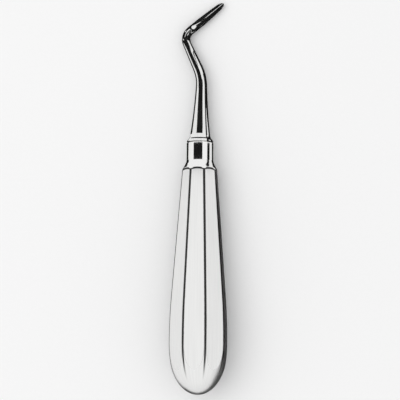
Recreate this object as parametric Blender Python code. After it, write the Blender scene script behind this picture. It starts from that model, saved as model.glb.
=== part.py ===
"""Apical elevator: a bent gouge blade on a tapering shank, set in a hollow eight-sided handle.

The instrument is drawn along its own axis: +Y runs from the butt to the tip, +Z leaves the
facet that faces up, and stations are distances from the butt. An empty then lays it down on
the facet opposite, so that this flat is level at Z = 0 with its middle at the origin.
"""

import math

import bmesh
import bpy
from mathutils import Matrix, Vector

MM = 0.001

# Grip, at the handle's axis
GRIP_ACROSS_FLATS = 21.1 * MM
CORNER_EASE = 0.13 * MM
BUTT_DEPTH = 19.9 * MM
BUTT_FULLNESS = 2.25
FLAT_RUNOUT_LENGTH = 27.3 * MM
SWELL_LENGTH = 17.5 * MM
FACET_LENGTH = 47.2 * MM
FACET_TAPER = math.radians(4.21)

# Neck and collar
NECK_ROUND_LENGTH = 1.8 * MM
NECK_ROUND_BULGE = 0.14 * MM
COVE_SHARE = 0.67
COVE_LENGTH = 2.7 * MM
COVE_HOLLOW = 0.11 * MM
COLLAR_DIAMETER = 10.1 * MM
COLLAR_LENGTH = 6.9 * MM
COLLAR_EDGE = 0.15 * MM

# Hollow of the handle, and the tang in its bore
HANDLE_WALL = 1.2 * MM
BORE_LENGTH = 12.0 * MM
TANG_DIAMETER = 6.0 * MM
TANG_LENGTH = 16.0 * MM
TANG_CHAMFER = 0.5 * MM
FIT_CLEARANCE = 0.3 * MM

# Shoulder and shank
SHOULDER_ROUND_LENGTH = 1.45 * MM
SHOULDER_ROUND_BULGE = 0.10 * MM
SHOULDER_ROUND_SHARE = 0.68
SHOULDER_COVE_LENGTH = 1.6 * MM
SHOULDER_COVE_HOLLOW = 0.09 * MM
SHANK_ROOT_DIAMETER = 7.5 * MM
SHANK_DIAMETER = 3.85 * MM
SHANK_END_DIAMETER = 3.16 * MM
SHANK_HOLLOW = 0.37 * MM
SHANK_LEAN = math.radians(1.1)
STRAIGHT_LENGTH = 18.5 * MM
FIRST_BEND_ANGLE = math.radians(25.6)
FIRST_BEND_RADIUS = 17.0 * MM
OFFSET_LENGTH = 10.2 * MM
SECOND_BEND_ANGLE = math.radians(75.7)
SECOND_BEND_RADIUS = 4.3 * MM

# Blade, from the end of the second bend
BLADE_LENGTH = 16.4 * MM
BLADE_NOSE_LENGTH = 2.9 * MM
BLADE_NOSE_WIDTH = 2.45 * MM
BLADE_BELLY = 0.24 * MM
BLADE_SIDE_SWELL = 0.18 * MM
BACK_BULGE = 0.33 * MM
TIP_THICKNESS = 0.22 * MM
TIP_BLUNTNESS = 0.12
LIP_HEIGHT = 0.4 * MM
FACE_RUN = 4.6 * MM

# Hollow-ground trough in the blade's face
TROUGH_START = 0.5 * MM
TROUGH_RUN = 5.6 * MM
TROUGH_FLOOR = 0.34 * MM
TROUGH_TIP_FLOOR = 0.04 * MM
TROUGH_LIP = 0.22 * MM
TROUGH_OVERRUN = 2.0 * MM

# Mesh fineness, and how far a cutter runs past what it cuts
CUTTER_OVERRUN = 1.0 * MM
HEEL_RING_GAP = 0.45 * MM
HANDLE_STEPS = 96
HOLLOW_STEPS = 48
SHANK_STEPS = 36
TROUGH_STEPS = 32

# Places worked out from the sizes above
FACETS = 8
HALF_FACET = math.pi / FACETS
GRIP_APOTHEM = GRIP_ACROSS_FLATS / 2
PLANE_START = BUTT_DEPTH + SWELL_LENGTH
PLANE_END = PLANE_START + FACET_LENGTH
NECK_END = PLANE_END + NECK_ROUND_LENGTH + COVE_LENGTH
COLLAR_END = NECK_END + COLLAR_LENGTH
BORE_RADIUS = TANG_DIAMETER / 2 + FIT_CLEARANCE
SHOULDER_START = COLLAR_END + FIT_CLEARANCE
SHANK_START = SHOULDER_START + SHOULDER_ROUND_LENGTH + SHOULDER_COVE_LENGTH
BEND_START = SHANK_START + STRAIGHT_LENGTH
LEAN_START = SHANK_START - SHOULDER_COVE_LENGTH
FIRST_BEND_LENGTH = FIRST_BEND_ANGLE * FIRST_BEND_RADIUS
SECOND_BEND_LENGTH = SECOND_BEND_ANGLE * SECOND_BEND_RADIUS
OFFSET_START = BEND_START + FIRST_BEND_LENGTH
OFFSET_END = OFFSET_START + OFFSET_LENGTH
BLADE_START = OFFSET_END + SECOND_BEND_LENGTH


def blend(start, end, share):
    """The value a share of the way from start to end."""
    return start + (end - start) * share


def ease(share):
    """A share from 0 to 1 that leaves and arrives level."""
    return (1 - math.cos(math.pi * min(max(share, 0.0), 1.0))) / 2


def arc(start, end, bulge, steps):
    """Points of a profile from start to end on a circular arc that swells by bulge from its chord."""
    (x0, y0), (x1, y1) = start, end
    chord = math.hypot(x1 - x0, y1 - y0)
    across = (-(y1 - y0) / chord, (x1 - x0) / chord)
    radius = (chord * chord / 4 + bulge * bulge) / (2 * abs(bulge))
    side = math.copysign(1, bulge)
    points = []
    for step in range(steps + 1):
        share = step / steps
        along = chord * (share - 0.5)
        rise = side * (math.sqrt(radius * radius - along * along) - radius + abs(bulge))
        points.append((blend(x0, x1, share) + across[0] * rise, blend(y0, y1, share) + across[1] * rise))
    return points


def value_on(points, place):
    """The height of a profile of (place, height) points at a place, held level past its ends."""
    if place <= points[0][0]:
        return points[0][1]
    for (x0, y0), (x1, y1) in zip(points, points[1:]):
        if place <= x1:
            return blend(y0, y1, (place - x0) / (x1 - x0))
    return points[-1][1]


def flat_reach(station, inset=0.0):
    """Distance from the axis to the middle of a facet, less an inset."""
    if station < BUTT_DEPTH:
        share = (BUTT_DEPTH - station) / (FLAT_RUNOUT_LENGTH - inset)
        return (GRIP_APOTHEM - inset) * math.sqrt(max(1 - share * share, 0.0))
    swell_radius = SWELL_LENGTH / math.sin(FACET_TAPER)
    run = min(station, PLANE_START) - BUTT_DEPTH
    drop = swell_radius - math.sqrt(swell_radius * swell_radius - run * run)
    drop += max(station - PLANE_START, 0.0) * math.tan(FACET_TAPER)
    return GRIP_APOTHEM - inset - drop


def turned_radius(station, inset=0.0):
    """Radius of the turned blank that the facets are ground on, less an inset."""
    if station >= BUTT_DEPTH:
        return flat_reach(station) / math.cos(HALF_FACET) - CORNER_EASE - inset
    widest = GRIP_APOTHEM / math.cos(HALF_FACET) - CORNER_EASE - inset
    share = (BUTT_DEPTH - station) / (BUTT_DEPTH - inset)
    return widest * math.sqrt(max(1 - share ** BUTT_FULLNESS, 0.0))


def grip_stations(butt, butt_steps, swell_steps):
    """Stations from the butt's pole to the start of the plane facets, closer together at the pole."""
    stations = []
    for step in range(1, butt_steps + 1):
        turn = math.pi / 2 * step / butt_steps
        stations.append(blend(BUTT_DEPTH, butt, math.cos(turn)))
    for step in range(1, swell_steps + 1):
        stations.append(blend(BUTT_DEPTH, PLANE_START, step / swell_steps))
    return stations


def new_object(name, mesh_data, parent, material=None):
    """Link a mesh as an object that hangs on the instrument's axis."""
    mesh = bpy.data.meshes.new(name)
    mesh_data.normal_update()
    mesh_data.to_mesh(mesh)
    mesh_data.free()
    piece = bpy.data.objects.new(name, mesh)
    bpy.context.scene.collection.objects.link(piece)
    piece.parent = parent
    if material:
        mesh.materials.append(material)
    return piece


def as_cutter(piece):
    """Mark a guide solid that only shapes another one."""
    piece.hide_render = True
    piece.display_type = "WIRE"
    return piece


def turned(profile, steps):
    """A solid turned about +Y from a profile of (station, radius) that starts and ends on the axis."""
    mesh = bmesh.new()
    points = [mesh.verts.new((0.0, station, radius)) for station, radius in profile]
    edges = [mesh.edges.new(pair) for pair in zip(points, points[1:])]
    bmesh.ops.spin(
        mesh,
        geom=points + edges,
        cent=(0, 0, 0),
        axis=(0, 1, 0),
        angle=2 * math.pi,
        steps=steps,
        use_merge=True,
    )
    bmesh.ops.remove_doubles(mesh, verts=mesh.verts, dist=0.001 * MM)
    bmesh.ops.recalc_face_normals(mesh, faces=mesh.faces)
    return mesh


def lofted(rings):
    """A solid skinned over rings of points, closed by a face at each end."""
    mesh = bmesh.new()
    loops = [[mesh.verts.new(point) for point in ring] for ring in rings]
    count = len(loops[0])
    for near, far in zip(loops, loops[1:]):
        for i in range(count):
            j = (i + 1) % count
            mesh.faces.new((near[i], near[j], far[j], far[i]))
    mesh.faces.new(loops[0])
    mesh.faces.new(loops[-1])
    bmesh.ops.recalc_face_normals(mesh, faces=mesh.faces)
    return mesh


def add_boolean(piece, cutter, operation):
    """Cut or trim a piece by another solid."""
    modifier = piece.modifiers.new(cutter.name, "BOOLEAN")
    modifier.operation = operation
    modifier.solver = "EXACT"
    modifier.object = cutter


def shade_round(piece, angle):
    """Shade a piece smooth, apart from edges sharper than the angle."""
    piece.data.shade_smooth()
    piece.data.set_sharp_from_angle(angle=angle)


def handle_blank():
    """Profile of the blank: butt, swelling, grip, rounded neck, cove and collar."""
    profile = [(0.0, 0.0)]
    profile += [(s, turned_radius(s)) for s in grip_stations(0.0, 15, 6)]
    grip_end = (PLANE_END, turned_radius(PLANE_END))
    collar_radius = COLLAR_DIAMETER / 2
    cove_top = (PLANE_END + NECK_ROUND_LENGTH, blend(collar_radius, grip_end[1], COVE_SHARE))
    profile += arc(grip_end, cove_top, NECK_ROUND_BULGE, 4)
    profile += arc(cove_top, (NECK_END, collar_radius), -COVE_HOLLOW, 5)[1:]
    profile.append((COLLAR_END - COLLAR_EDGE, collar_radius))
    profile.append((COLLAR_END, collar_radius - COLLAR_EDGE))
    profile.append((COLLAR_END, 0.0))
    return profile


def hollow_profile():
    """Profile of the space in the handle, which narrows to the bore's mouth inside the neck."""
    profile = [(HANDLE_WALL, 0.0)]
    profile += [(s, turned_radius(s, HANDLE_WALL)) for s in grip_stations(HANDLE_WALL, 9, 4)]
    bore_start = COLLAR_END - BORE_LENGTH
    room_end = bore_start - (turned_radius(bore_start, HANDLE_WALL) - BORE_RADIUS)
    profile.append((room_end, turned_radius(room_end, HANDLE_WALL)))
    profile.append((bore_start, BORE_RADIUS))
    profile.append((bore_start, 0.0))
    return profile


def facet_loft(inset, first, last, butt_steps, swell_steps):
    """The eight-sided solid whose sides are the facets, flared clear of the neck at its far end."""
    clear = GRIP_ACROSS_FLATS
    stations = [first] + grip_stations(0.0, butt_steps, swell_steps) + [last]
    sections = [(s, flat_reach(s, inset)) for s in stations]
    sections.append((NECK_END, GRIP_APOTHEM))
    sections.append((COLLAR_END + clear, GRIP_APOTHEM))
    rings = []
    for station, reach in sections:
        corner = reach / math.cos(HALF_FACET)
        angles = [HALF_FACET * (2 * i + 1) for i in range(FACETS)]
        rings.append([(corner * math.sin(a), station, corner * math.cos(a)) for a in angles])
    return lofted(rings)


def make_handle(axis, steel):
    """Hollow handle: a turned blank with eight facets, a bored neck and an even wall."""
    handle = new_object("handle_shell", turned(handle_blank(), HANDLE_STEPS), axis, steel)
    facet_end = PLANE_END + NECK_ROUND_LENGTH
    outer = facet_loft(0.0, -CUTTER_OVERRUN, facet_end, 8, 6)
    facets = as_cutter(new_object("facet_guide", outer, axis))
    hollow = as_cutter(new_object("hollow_guide", turned(hollow_profile(), HOLLOW_STEPS), axis))
    inner = facet_loft(HANDLE_WALL, -CUTTER_OVERRUN, PLANE_END, 6, 4)
    inner_facets = as_cutter(new_object("hollow_facet_guide", inner, axis))
    bore_start = COLLAR_END - BORE_LENGTH
    bore_shape = [
        (bore_start - CUTTER_OVERRUN, 0.0),
        (bore_start - CUTTER_OVERRUN, BORE_RADIUS),
        (COLLAR_END + CUTTER_OVERRUN, BORE_RADIUS),
        (COLLAR_END + CUTTER_OVERRUN, 0.0),
    ]
    bore = as_cutter(new_object("bore_guide", turned(bore_shape, HOLLOW_STEPS), axis))
    add_boolean(handle, facets, "INTERSECT")
    add_boolean(hollow, inner_facets, "INTERSECT")
    add_boolean(handle, hollow, "DIFFERENCE")
    add_boolean(handle, bore, "DIFFERENCE")
    shade_round(handle, math.radians(12))
    return handle


def place_on_path(station):
    """Point and heading of the forging's centre line, which leans and bends twice in the facets' plane."""
    runs = [
        (LEAN_START, 0.0),
        (SHOULDER_COVE_LENGTH, SHANK_LEAN),
        (STRAIGHT_LENGTH, 0.0),
        (FIRST_BEND_LENGTH, -FIRST_BEND_ANGLE),
        (OFFSET_LENGTH, 0.0),
        (SECOND_BEND_LENGTH, SECOND_BEND_ANGLE),
        (BLADE_LENGTH, 0.0),
    ]
    point = Vector((0.0, 0.0, 0.0))
    heading = 0.0
    left = station
    for number, (length, turn) in enumerate(runs):
        last = number == len(runs) - 1
        run = left if last else min(left, length)
        angle = turn * run / length
        if turn:
            radius = length / turn
            side = Vector((math.cos(heading), -math.sin(heading), 0.0))
            turned_side = Vector((math.cos(heading + angle), -math.sin(heading + angle), 0.0))
            point += (side - turned_side) * radius
        else:
            point += Vector((math.sin(heading), math.cos(heading), 0.0)) * run
        heading += angle
        left -= run
        if left <= 0:
            break
    return point, heading


def ring_on_path(station, trailing, leading, face, back, steps):
    """A section across the centre line: half widths on its two sides, height to the face and the back."""
    point, heading = place_on_path(station)
    side = Vector((math.cos(heading), -math.sin(heading), 0.0))
    up = Vector((0.0, 0.0, 1.0))
    ring = []
    for step in range(steps):
        angle = 2 * math.pi * step / steps
        across = math.cos(angle) * (leading if math.cos(angle) > 0 else trailing)
        height = math.sin(angle) * (face if math.sin(angle) > 0 else back)
        ring.append(point + side * across + up * height)
    return ring


def shank_profile():
    """Station and radius from the tang's end to the end of the second bend."""
    tang = TANG_DIAMETER / 2
    collar = COLLAR_DIAMETER / 2
    root = SHANK_ROOT_DIAMETER / 2
    end = SHANK_END_DIAMETER / 2
    tang_end = SHOULDER_START - TANG_LENGTH
    profile = [(tang_end, tang - TANG_CHAMFER), (tang_end + TANG_CHAMFER, tang), (SHOULDER_START, tang)]
    profile.append((SHOULDER_START, collar - COLLAR_EDGE))
    shoulder = (SHOULDER_START + COLLAR_EDGE, collar)
    round_end = (SHOULDER_START + SHOULDER_ROUND_LENGTH, blend(collar, root, SHOULDER_ROUND_SHARE))
    profile += arc(shoulder, round_end, SHOULDER_ROUND_BULGE, 4)
    profile += arc(round_end, (SHANK_START, root), -SHOULDER_COVE_HOLLOW, 4)[1:]
    profile += arc((SHANK_START, root), (OFFSET_START, SHANK_DIAMETER / 2), -SHANK_HOLLOW, 18)[1:]
    profile.append((OFFSET_END, end))
    bend_rings = 9
    for step in range(1, bend_rings + 1):
        profile.append((blend(OFFSET_END, BLADE_START, step / bend_rings), end))
    return profile


def blade_stations():
    """Distances along the blade, from its heel to its tip, closer together round the nose."""
    heel_rings = 15
    stations = [HEEL_RING_GAP * step for step in range(1, heel_rings + 1)]
    straight = BLADE_LENGTH - BLADE_NOSE_LENGTH
    stations = [s for s in stations if s < straight]
    body_rings = 7
    start = stations[-1]
    stations += [blend(start, straight, step / body_rings) for step in range(1, body_rings + 1)]
    nose_rings = 8
    for step in range(1, nose_rings + 1):
        turn = math.pi / 2 * step / nose_rings
        stations.append(straight + BLADE_NOSE_LENGTH * math.sin(turn))
    return stations


def blade_half_widths(distance):
    """Half widths of the blade's straighter side and of its bellied side."""
    heel = SHANK_END_DIAMETER / 2
    nose = BLADE_NOSE_WIDTH / 2
    straight = BLADE_LENGTH - BLADE_NOSE_LENGTH
    narrow = value_on(arc((0.0, heel), (straight, nose), BLADE_SIDE_SWELL, 12), distance)
    belly = value_on(arc((0.0, heel), (straight, nose), BLADE_BELLY, 12), distance)
    past = max(distance - straight, 0.0) / BLADE_NOSE_LENGTH
    closing = max(math.sqrt(max(1 - past * past, 0.0)), TIP_BLUNTNESS)
    return narrow * closing, belly * closing


def blade_heights(distance):
    """Height of the blade's face and depth of its rounded back, from its centre line."""
    heel = SHANK_END_DIAMETER / 2
    face = blend(heel, LIP_HEIGHT, ease(distance / FACE_RUN))
    back = value_on(arc((0.0, heel), (BLADE_LENGTH, TIP_THICKNESS), BACK_BULGE, 16), distance)
    return face, back


def trough_cutter(axis):
    """The round-nosed tool's path that hollows the blade's face from the heel to the tip."""
    floor_start = (TROUGH_START, SHANK_END_DIAMETER / 2 + FIT_CLEARANCE)
    floor_low = (TROUGH_START + TROUGH_RUN, -TROUGH_FLOOR)
    floor_tip = (BLADE_LENGTH, -TROUGH_TIP_FLOOR)
    slope = (floor_tip[1] - floor_low[1]) / (floor_tip[0] - floor_low[0])
    run = floor_low[0] - floor_start[0]
    fall = floor_start[1] - floor_low[1]
    half_turn = math.atan2(fall, run) + math.atan(slope)
    floor = arc(floor_start, floor_low, -math.hypot(run, fall) / 2 * math.tan(half_turn / 2), 14)
    body_rings = 10
    for step in range(1, body_rings + 1):
        distance = blend(floor_low[0], BLADE_LENGTH + TROUGH_OVERRUN, step / body_rings)
        floor.append((distance, floor_low[1] + slope * (distance - floor_low[0])))
    straight = BLADE_LENGTH - BLADE_NOSE_LENGTH
    rings = []
    for distance, height in floor:
        place = min(max(distance, floor_low[0]), straight)
        trailing, leading = blade_half_widths(place)
        half = (trailing + leading) / 2 - TROUGH_LIP
        depth = LIP_HEIGHT - (floor_low[1] + slope * (place - floor_low[0]))
        radius = (half * half + depth * depth) / (2 * depth)
        point, heading = place_on_path(BLADE_START + distance)
        side = Vector((math.cos(heading), -math.sin(heading), 0.0))
        centre = point + side * ((leading - trailing) / 2) + Vector((0.0, 0.0, height + radius))
        ring = []
        for step in range(TROUGH_STEPS):
            angle = 2 * math.pi * (step + 0.5) / TROUGH_STEPS
            up = Vector((0.0, 0.0, math.cos(angle) * radius))
            ring.append(centre + side * (math.sin(angle) * radius) + up)
        rings.append(ring)
    return as_cutter(new_object("trough_guide", lofted(rings), axis))


def make_forging(axis, steel):
    """Tang, shoulder, bent shank and gouge blade, forged and ground from one bar."""
    rings = []
    for station, radius in shank_profile():
        rings.append(ring_on_path(station, radius, radius, radius, radius, SHANK_STEPS))
    for distance in blade_stations():
        trailing, leading = blade_half_widths(distance)
        face, back = blade_heights(distance)
        rings.append(ring_on_path(BLADE_START + distance, trailing, leading, face, back, SHANK_STEPS))
    forging = new_object("blade_and_shank", lofted(rings), axis, steel)
    add_boolean(forging, trough_cutter(axis), "DIFFERENCE")
    shade_round(forging, math.radians(30))
    return forging


def steel_finish(name, colour, roughness):
    """Stainless steel with a given finish."""
    material = bpy.data.materials.new(name)
    material.use_nodes = True
    shader = material.node_tree.nodes["Principled BSDF"]
    shader.inputs["Base Color"].default_value = (*colour, 1.0)
    shader.inputs["Metallic"].default_value = 1.0
    shader.inputs["Roughness"].default_value = roughness
    return material


def instrument_axis():
    """The empty that lays the instrument on its lower facet, with that facet's middle at the origin."""
    axis = bpy.data.objects.new("instrument_axis", None)
    bpy.context.scene.collection.objects.link(axis)
    middle = (PLANE_START + PLANE_END) / 2
    lay_down = Matrix.Rotation(-FACET_TAPER, 4, "X")
    rest_point = Vector((0.0, middle, -flat_reach(middle)))
    axis.location = -(lay_down @ rest_point)
    axis.rotation_euler = (-FACET_TAPER, 0.0, 0.0)
    return axis


def main():
    for piece in list(bpy.data.objects):
        bpy.data.objects.remove(piece)
    axis = instrument_axis()
    make_handle(axis, steel_finish("satin_steel", (0.72, 0.72, 0.71), 0.35))
    make_forging(axis, steel_finish("polished_steel", (0.78, 0.78, 0.77), 0.12))


main()
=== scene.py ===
"""Looks of the apical elevator: satin hollow handle, polished collar, shank and gouge."""

import math

import bmesh
import bpy
from mathutils import Matrix, Vector


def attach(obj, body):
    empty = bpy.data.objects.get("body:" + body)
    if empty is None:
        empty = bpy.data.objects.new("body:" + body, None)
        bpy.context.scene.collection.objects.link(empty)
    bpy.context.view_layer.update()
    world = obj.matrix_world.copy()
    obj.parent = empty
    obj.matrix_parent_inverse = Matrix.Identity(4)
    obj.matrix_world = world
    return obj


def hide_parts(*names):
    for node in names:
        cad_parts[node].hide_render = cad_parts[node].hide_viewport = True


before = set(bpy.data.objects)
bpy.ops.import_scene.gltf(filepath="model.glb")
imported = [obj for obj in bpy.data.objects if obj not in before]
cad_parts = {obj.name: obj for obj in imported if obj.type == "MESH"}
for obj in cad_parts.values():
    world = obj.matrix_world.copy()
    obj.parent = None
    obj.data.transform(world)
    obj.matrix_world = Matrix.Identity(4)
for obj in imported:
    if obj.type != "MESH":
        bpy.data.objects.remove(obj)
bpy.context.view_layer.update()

MM = 0.001

# Handle, along the instrument's own axis from the butt
GRIP_ACROSS_FLATS = 21.1 * MM
CORNER_EASE = 0.13 * MM
BUTT_DEPTH = 19.9 * MM
BUTT_FULLNESS = 2.25
FLAT_RUNOUT_LENGTH = 27.3 * MM
SWELL_LENGTH = 17.5 * MM
FACET_LENGTH = 47.2 * MM
FACET_TAPER = math.radians(4.21)
NECK_ROUND_LENGTH = 1.8 * MM
NECK_ROUND_BULGE = 0.14 * MM
COVE_SHARE = 0.67
COVE_LENGTH = 2.7 * MM
COVE_HOLLOW = 0.11 * MM
COLLAR_DIAMETER = 10.1 * MM
COLLAR_LENGTH = 6.9 * MM
COLLAR_EDGE = 0.15 * MM
BORE_LENGTH = 12.0 * MM
TANG_DIAMETER = 6.0 * MM
TANG_LENGTH = 16.0 * MM
TANG_CHAMFER = 0.5 * MM
FIT_CLEARANCE = 0.3 * MM

# Shoulder, shank and bends
SHOULDER_ROUND_LENGTH = 1.45 * MM
SHOULDER_ROUND_BULGE = 0.10 * MM
SHOULDER_ROUND_SHARE = 0.68
SHOULDER_COVE_LENGTH = 1.6 * MM
SHOULDER_COVE_HOLLOW = 0.09 * MM
SHANK_ROOT_DIAMETER = 7.5 * MM
SHANK_DIAMETER = 3.85 * MM
SHANK_END_DIAMETER = 3.16 * MM
SHANK_HOLLOW = 0.37 * MM
SHANK_LEAN = math.radians(1.1)
STRAIGHT_LENGTH = 18.5 * MM
FIRST_BEND_ANGLE = math.radians(25.6)
FIRST_BEND_RADIUS = 17.0 * MM
OFFSET_LENGTH = 10.2 * MM
SECOND_BEND_ANGLE = math.radians(75.7)
SECOND_BEND_RADIUS = 4.3 * MM

# Gouge blade and its hollow-ground trough
BLADE_LENGTH = 16.4 * MM
BLADE_NOSE_LENGTH = 2.9 * MM
BLADE_NOSE_WIDTH = 2.45 * MM
BLADE_BELLY = 0.24 * MM
BLADE_SIDE_SWELL = 0.18 * MM
BACK_BULGE = 0.33 * MM
TIP_THICKNESS = 0.22 * MM
TIP_BLUNTNESS = 0.12
LIP_HEIGHT = 0.4 * MM
FACE_RUN = 4.6 * MM
TROUGH_START = 0.5 * MM
TROUGH_RUN = 5.6 * MM
TROUGH_FLOOR = 0.34 * MM
TROUGH_TIP_FLOOR = 0.04 * MM
TROUGH_LIP = 0.22 * MM

# Places worked out from the sizes above
FACETS = 8
HALF_FACET = math.pi / FACETS
GRIP_APOTHEM = GRIP_ACROSS_FLATS / 2
PLANE_START = BUTT_DEPTH + SWELL_LENGTH
PLANE_END = PLANE_START + FACET_LENGTH
NECK_END = PLANE_END + NECK_ROUND_LENGTH + COVE_LENGTH
COLLAR_END = NECK_END + COLLAR_LENGTH
COLLAR_RADIUS = COLLAR_DIAMETER / 2
BORE_START = COLLAR_END - BORE_LENGTH
BORE_RADIUS = TANG_DIAMETER / 2 + FIT_CLEARANCE
SHOULDER_START = COLLAR_END + FIT_CLEARANCE
SHOULDER_EDGE = SHOULDER_START + COLLAR_EDGE
SHOULDER_ROUND_END = SHOULDER_START + SHOULDER_ROUND_LENGTH
SHANK_START = SHOULDER_ROUND_END + SHOULDER_COVE_LENGTH
TANG_START = SHOULDER_START - TANG_LENGTH
LEAN_START = SHANK_START - SHOULDER_COVE_LENGTH
BEND_START = SHANK_START + STRAIGHT_LENGTH
FIRST_BEND_LENGTH = FIRST_BEND_ANGLE * FIRST_BEND_RADIUS
SECOND_BEND_LENGTH = SECOND_BEND_ANGLE * SECOND_BEND_RADIUS
OFFSET_START = BEND_START + FIRST_BEND_LENGTH
OFFSET_END = OFFSET_START + OFFSET_LENGTH
BLADE_START = OFFSET_END + SECOND_BEND_LENGTH
BLADE_STRAIGHT = BLADE_LENGTH - BLADE_NOSE_LENGTH
TROUGH_LOW = TROUGH_START + TROUGH_RUN
RING_STATION = PLANE_END + 1.1 * MM
RING_REACH = 2.9 * MM
RING_ARCH = 0.07

# Fineness of the finished skins
FLAT_ACROSS = (-1.0, -0.97, -0.9, -0.6, 0.0, 0.6, 0.9, 0.97, 1.0)
CORNER_COLUMNS = 10
ROUND_COLUMNS = 72
TROUGH_COLUMNS = 28
LONG_EDGE_WIDTH = 0.36 * MM
ARC_EDGE_WIDTH = 0.45 * MM
LIP_WIDTH = 0.30 * MM
WELD_DISTANCE = 0.0004 * MM
FINISH_NORMAL = "finish_normal"
GRIND_MAP = "grind_lines"
EDGE_CLOSENESS = "edge_closeness"
TURNED_FINISH = "turned_finish"
FACET_STRIDE = 40.0

# Painted shade lines on the handle, and the start of its neck polish, in millimetres from the butt and
# across
RIDGE_LINE_FROM, RIDGE_LINE_FULL = 4.0, 13.0
RIDGE_LINE_AT_SWELL, RIDGE_LINE_AT_NECK = 0.27, 0.40
CORNER_LINE_FROM, CORNER_LINE_FULL = 11.0, 21.0
RING_LINE_DARK, RING_LINE_CLEAR = 0.28, 0.48
POLISH_STARTS, POLISH_FULL = 0.1, 0.5


def blend(start, end, share):
    """The value a share of the way from start to end."""
    return start + (end - start) * share


def ease(share):
    """A share from 0 to 1 that leaves and arrives level."""
    return (1 - math.cos(math.pi * min(max(share, 0.0), 1.0))) / 2


def steps(start, end, count):
    """Evenly spaced places from start to end."""
    return [blend(start, end, i / count) for i in range(count + 1)]


def steps_from_edge(edge, end, count):
    """Places that crowd towards the edge they leave from."""
    return [blend(edge, end, (i / count) ** 2) for i in range(count + 1)]


def arc_run(start, end, bulge):
    """A run of a profile on a circular arc that swells by bulge from its chord."""
    (x0, y0), (x1, y1) = start, end
    chord = math.hypot(x1 - x0, y1 - y0)
    across = (-(y1 - y0) / chord, (x1 - x0) / chord)
    radius = (chord * chord / 4 + bulge * bulge) / (2 * abs(bulge))
    side = math.copysign(1, bulge)

    def run(share):
        along = chord * (share - 0.5)
        rise = side * (math.sqrt(radius * radius - along * along) - radius + abs(bulge))
        return blend(x0, x1, share) + across[0] * rise, blend(y0, y1, share) + across[1] * rise

    return run


def line_run(start, end):
    """A straight run of a profile."""
    return lambda share: (blend(start[0], end[0], share), blend(start[1], end[1], share))


def profile(runs):
    """The point of a profile at a place: the run's number plus the share along it."""

    def point(place):
        number = min(max(int(math.floor(place)), 0), len(runs) - 1)
        return runs[number](place - number)

    return point


def crossing(gap, low, high):
    """The place between low and high where a gap changes sign."""
    sign = gap(low) > 0
    for _ in range(48):
        middle = (low + high) / 2
        if (gap(middle) > 0) == sign:
            low = middle
        else:
            high = middle
    return (low + high) / 2


# Skins


class Skin:
    """A closed skin put together from patches, each a surface with its own true normals."""

    def __init__(self):
        self.mesh = bmesh.new()
        self.normal = self.mesh.loops.layers.float_vector.new(FINISH_NORMAL)
        self.grind = self.mesh.loops.layers.uv.new(GRIND_MAP)
        self.turned = self.mesh.loops.layers.float.new(TURNED_FINISH)
        self.edge = self.mesh.verts.layers.float.new(EDGE_CLOSENESS)

    def patch(self, surface, rows, outward, grind, edge=None, closed=False, turned=0.0):
        """Add a grid of faces. Rows hold (u, v) places, and outward says which side the normals take."""
        loops = []
        for row in rows:
            loops.append([self.mesh.verts.new(surface(u, v)) for u, v in row])
        if edge:
            for row, made in zip(rows, loops):
                for (u, v), vert in zip(row, made):
                    vert[self.edge] = edge(u, v)
        for near, far, low, high in zip(rows, rows[1:], loops, loops[1:]):
            count = len(near) if closed else len(near) - 1
            for i in range(count):
                j = (i + 1) % len(near)
                turn = 2 * math.pi if closed and j == 0 else 0.0
                places = [near[i], (near[j][0], near[j][1] + turn), (far[j][0], far[j][1] + turn), far[i]]
                made = self.face([low[i], low[j], high[j], high[i]], places, surface, outward, grind)
                for loop in made.loops:
                    loop[self.turned] = turned

    def face(self, verts, places, surface, outward, grind):
        """One face, whose corners carry the surface's normal and the grinding map's place."""
        face = self.mesh.faces.new(verts)
        face.smooth = True
        middle_u = sum(u for u, v in places) / 4
        middle_v = sum(v for u, v in places) / 4
        for loop, (u, v) in zip(face.loops, places):
            inner_u, inner_v = blend(u, middle_u, 0.02), blend(v, middle_v, 0.02)
            loop[self.normal] = true_normal(surface, inner_u, inner_v) * outward
            loop[self.grind].uv = grind(u, v)
        return face

    def finish(self, name, place, steel):
        """Weld the patches and hang the piece where the frame has it."""
        bmesh.ops.remove_doubles(self.mesh, verts=self.mesh.verts, dist=WELD_DISTANCE)
        rim = [edge for edge in self.mesh.edges if len(edge.link_faces) == 1]
        if rim:
            bmesh.ops.holes_fill(self.mesh, edges=rim, sides=0)
        for face in self.mesh.faces:
            outward = sum((loop[self.normal] for loop in face.loops), Vector())
            face.normal_update()
            if outward.length > 0.1 and face.normal.dot(outward) < 0:
                face.normal_flip()
        body = bpy.data.meshes.new(name)
        self.mesh.to_mesh(body)
        self.mesh.free()
        body.transform(place)
        turn = place.to_3x3()
        kept = [turn @ corner.vector for corner in body.attributes[FINISH_NORMAL].data]
        flat = [body.polygons[i].normal for i in corner_faces(body)]
        normals = [true.normalized() if true.length > 0.5 else plain for true, plain in zip(kept, flat)]
        body.normals_split_custom_set(normals)
        body.attributes.remove(body.attributes[FINISH_NORMAL])
        body.materials.append(steel)
        piece = bpy.data.objects.new(name, body)
        bpy.context.scene.collection.objects.link(piece)
        return piece


def corner_faces(body):
    """The face that each corner of a mesh belongs to."""
    owners = [0] * len(body.loops)
    for face in body.polygons:
        for i in face.loop_indices:
            owners[i] = face.index
    return owners


def direction(near, far):
    """The direction between two very close points, whose difference is taken before it is rounded."""
    return Vector([b - a for a, b in zip(near, far)]).normalized()


def true_normal(surface, u, v):
    """The normal of a surface, from its slopes on both sides of a place."""
    reach_u, reach_v = 1e-5, 1e-4
    along = direction(surface(u - reach_u, v), surface(u + reach_u, v))
    across = direction(surface(u, v - reach_v), surface(u, v + reach_v))
    return along.cross(across).normalized()


# Handle


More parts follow.
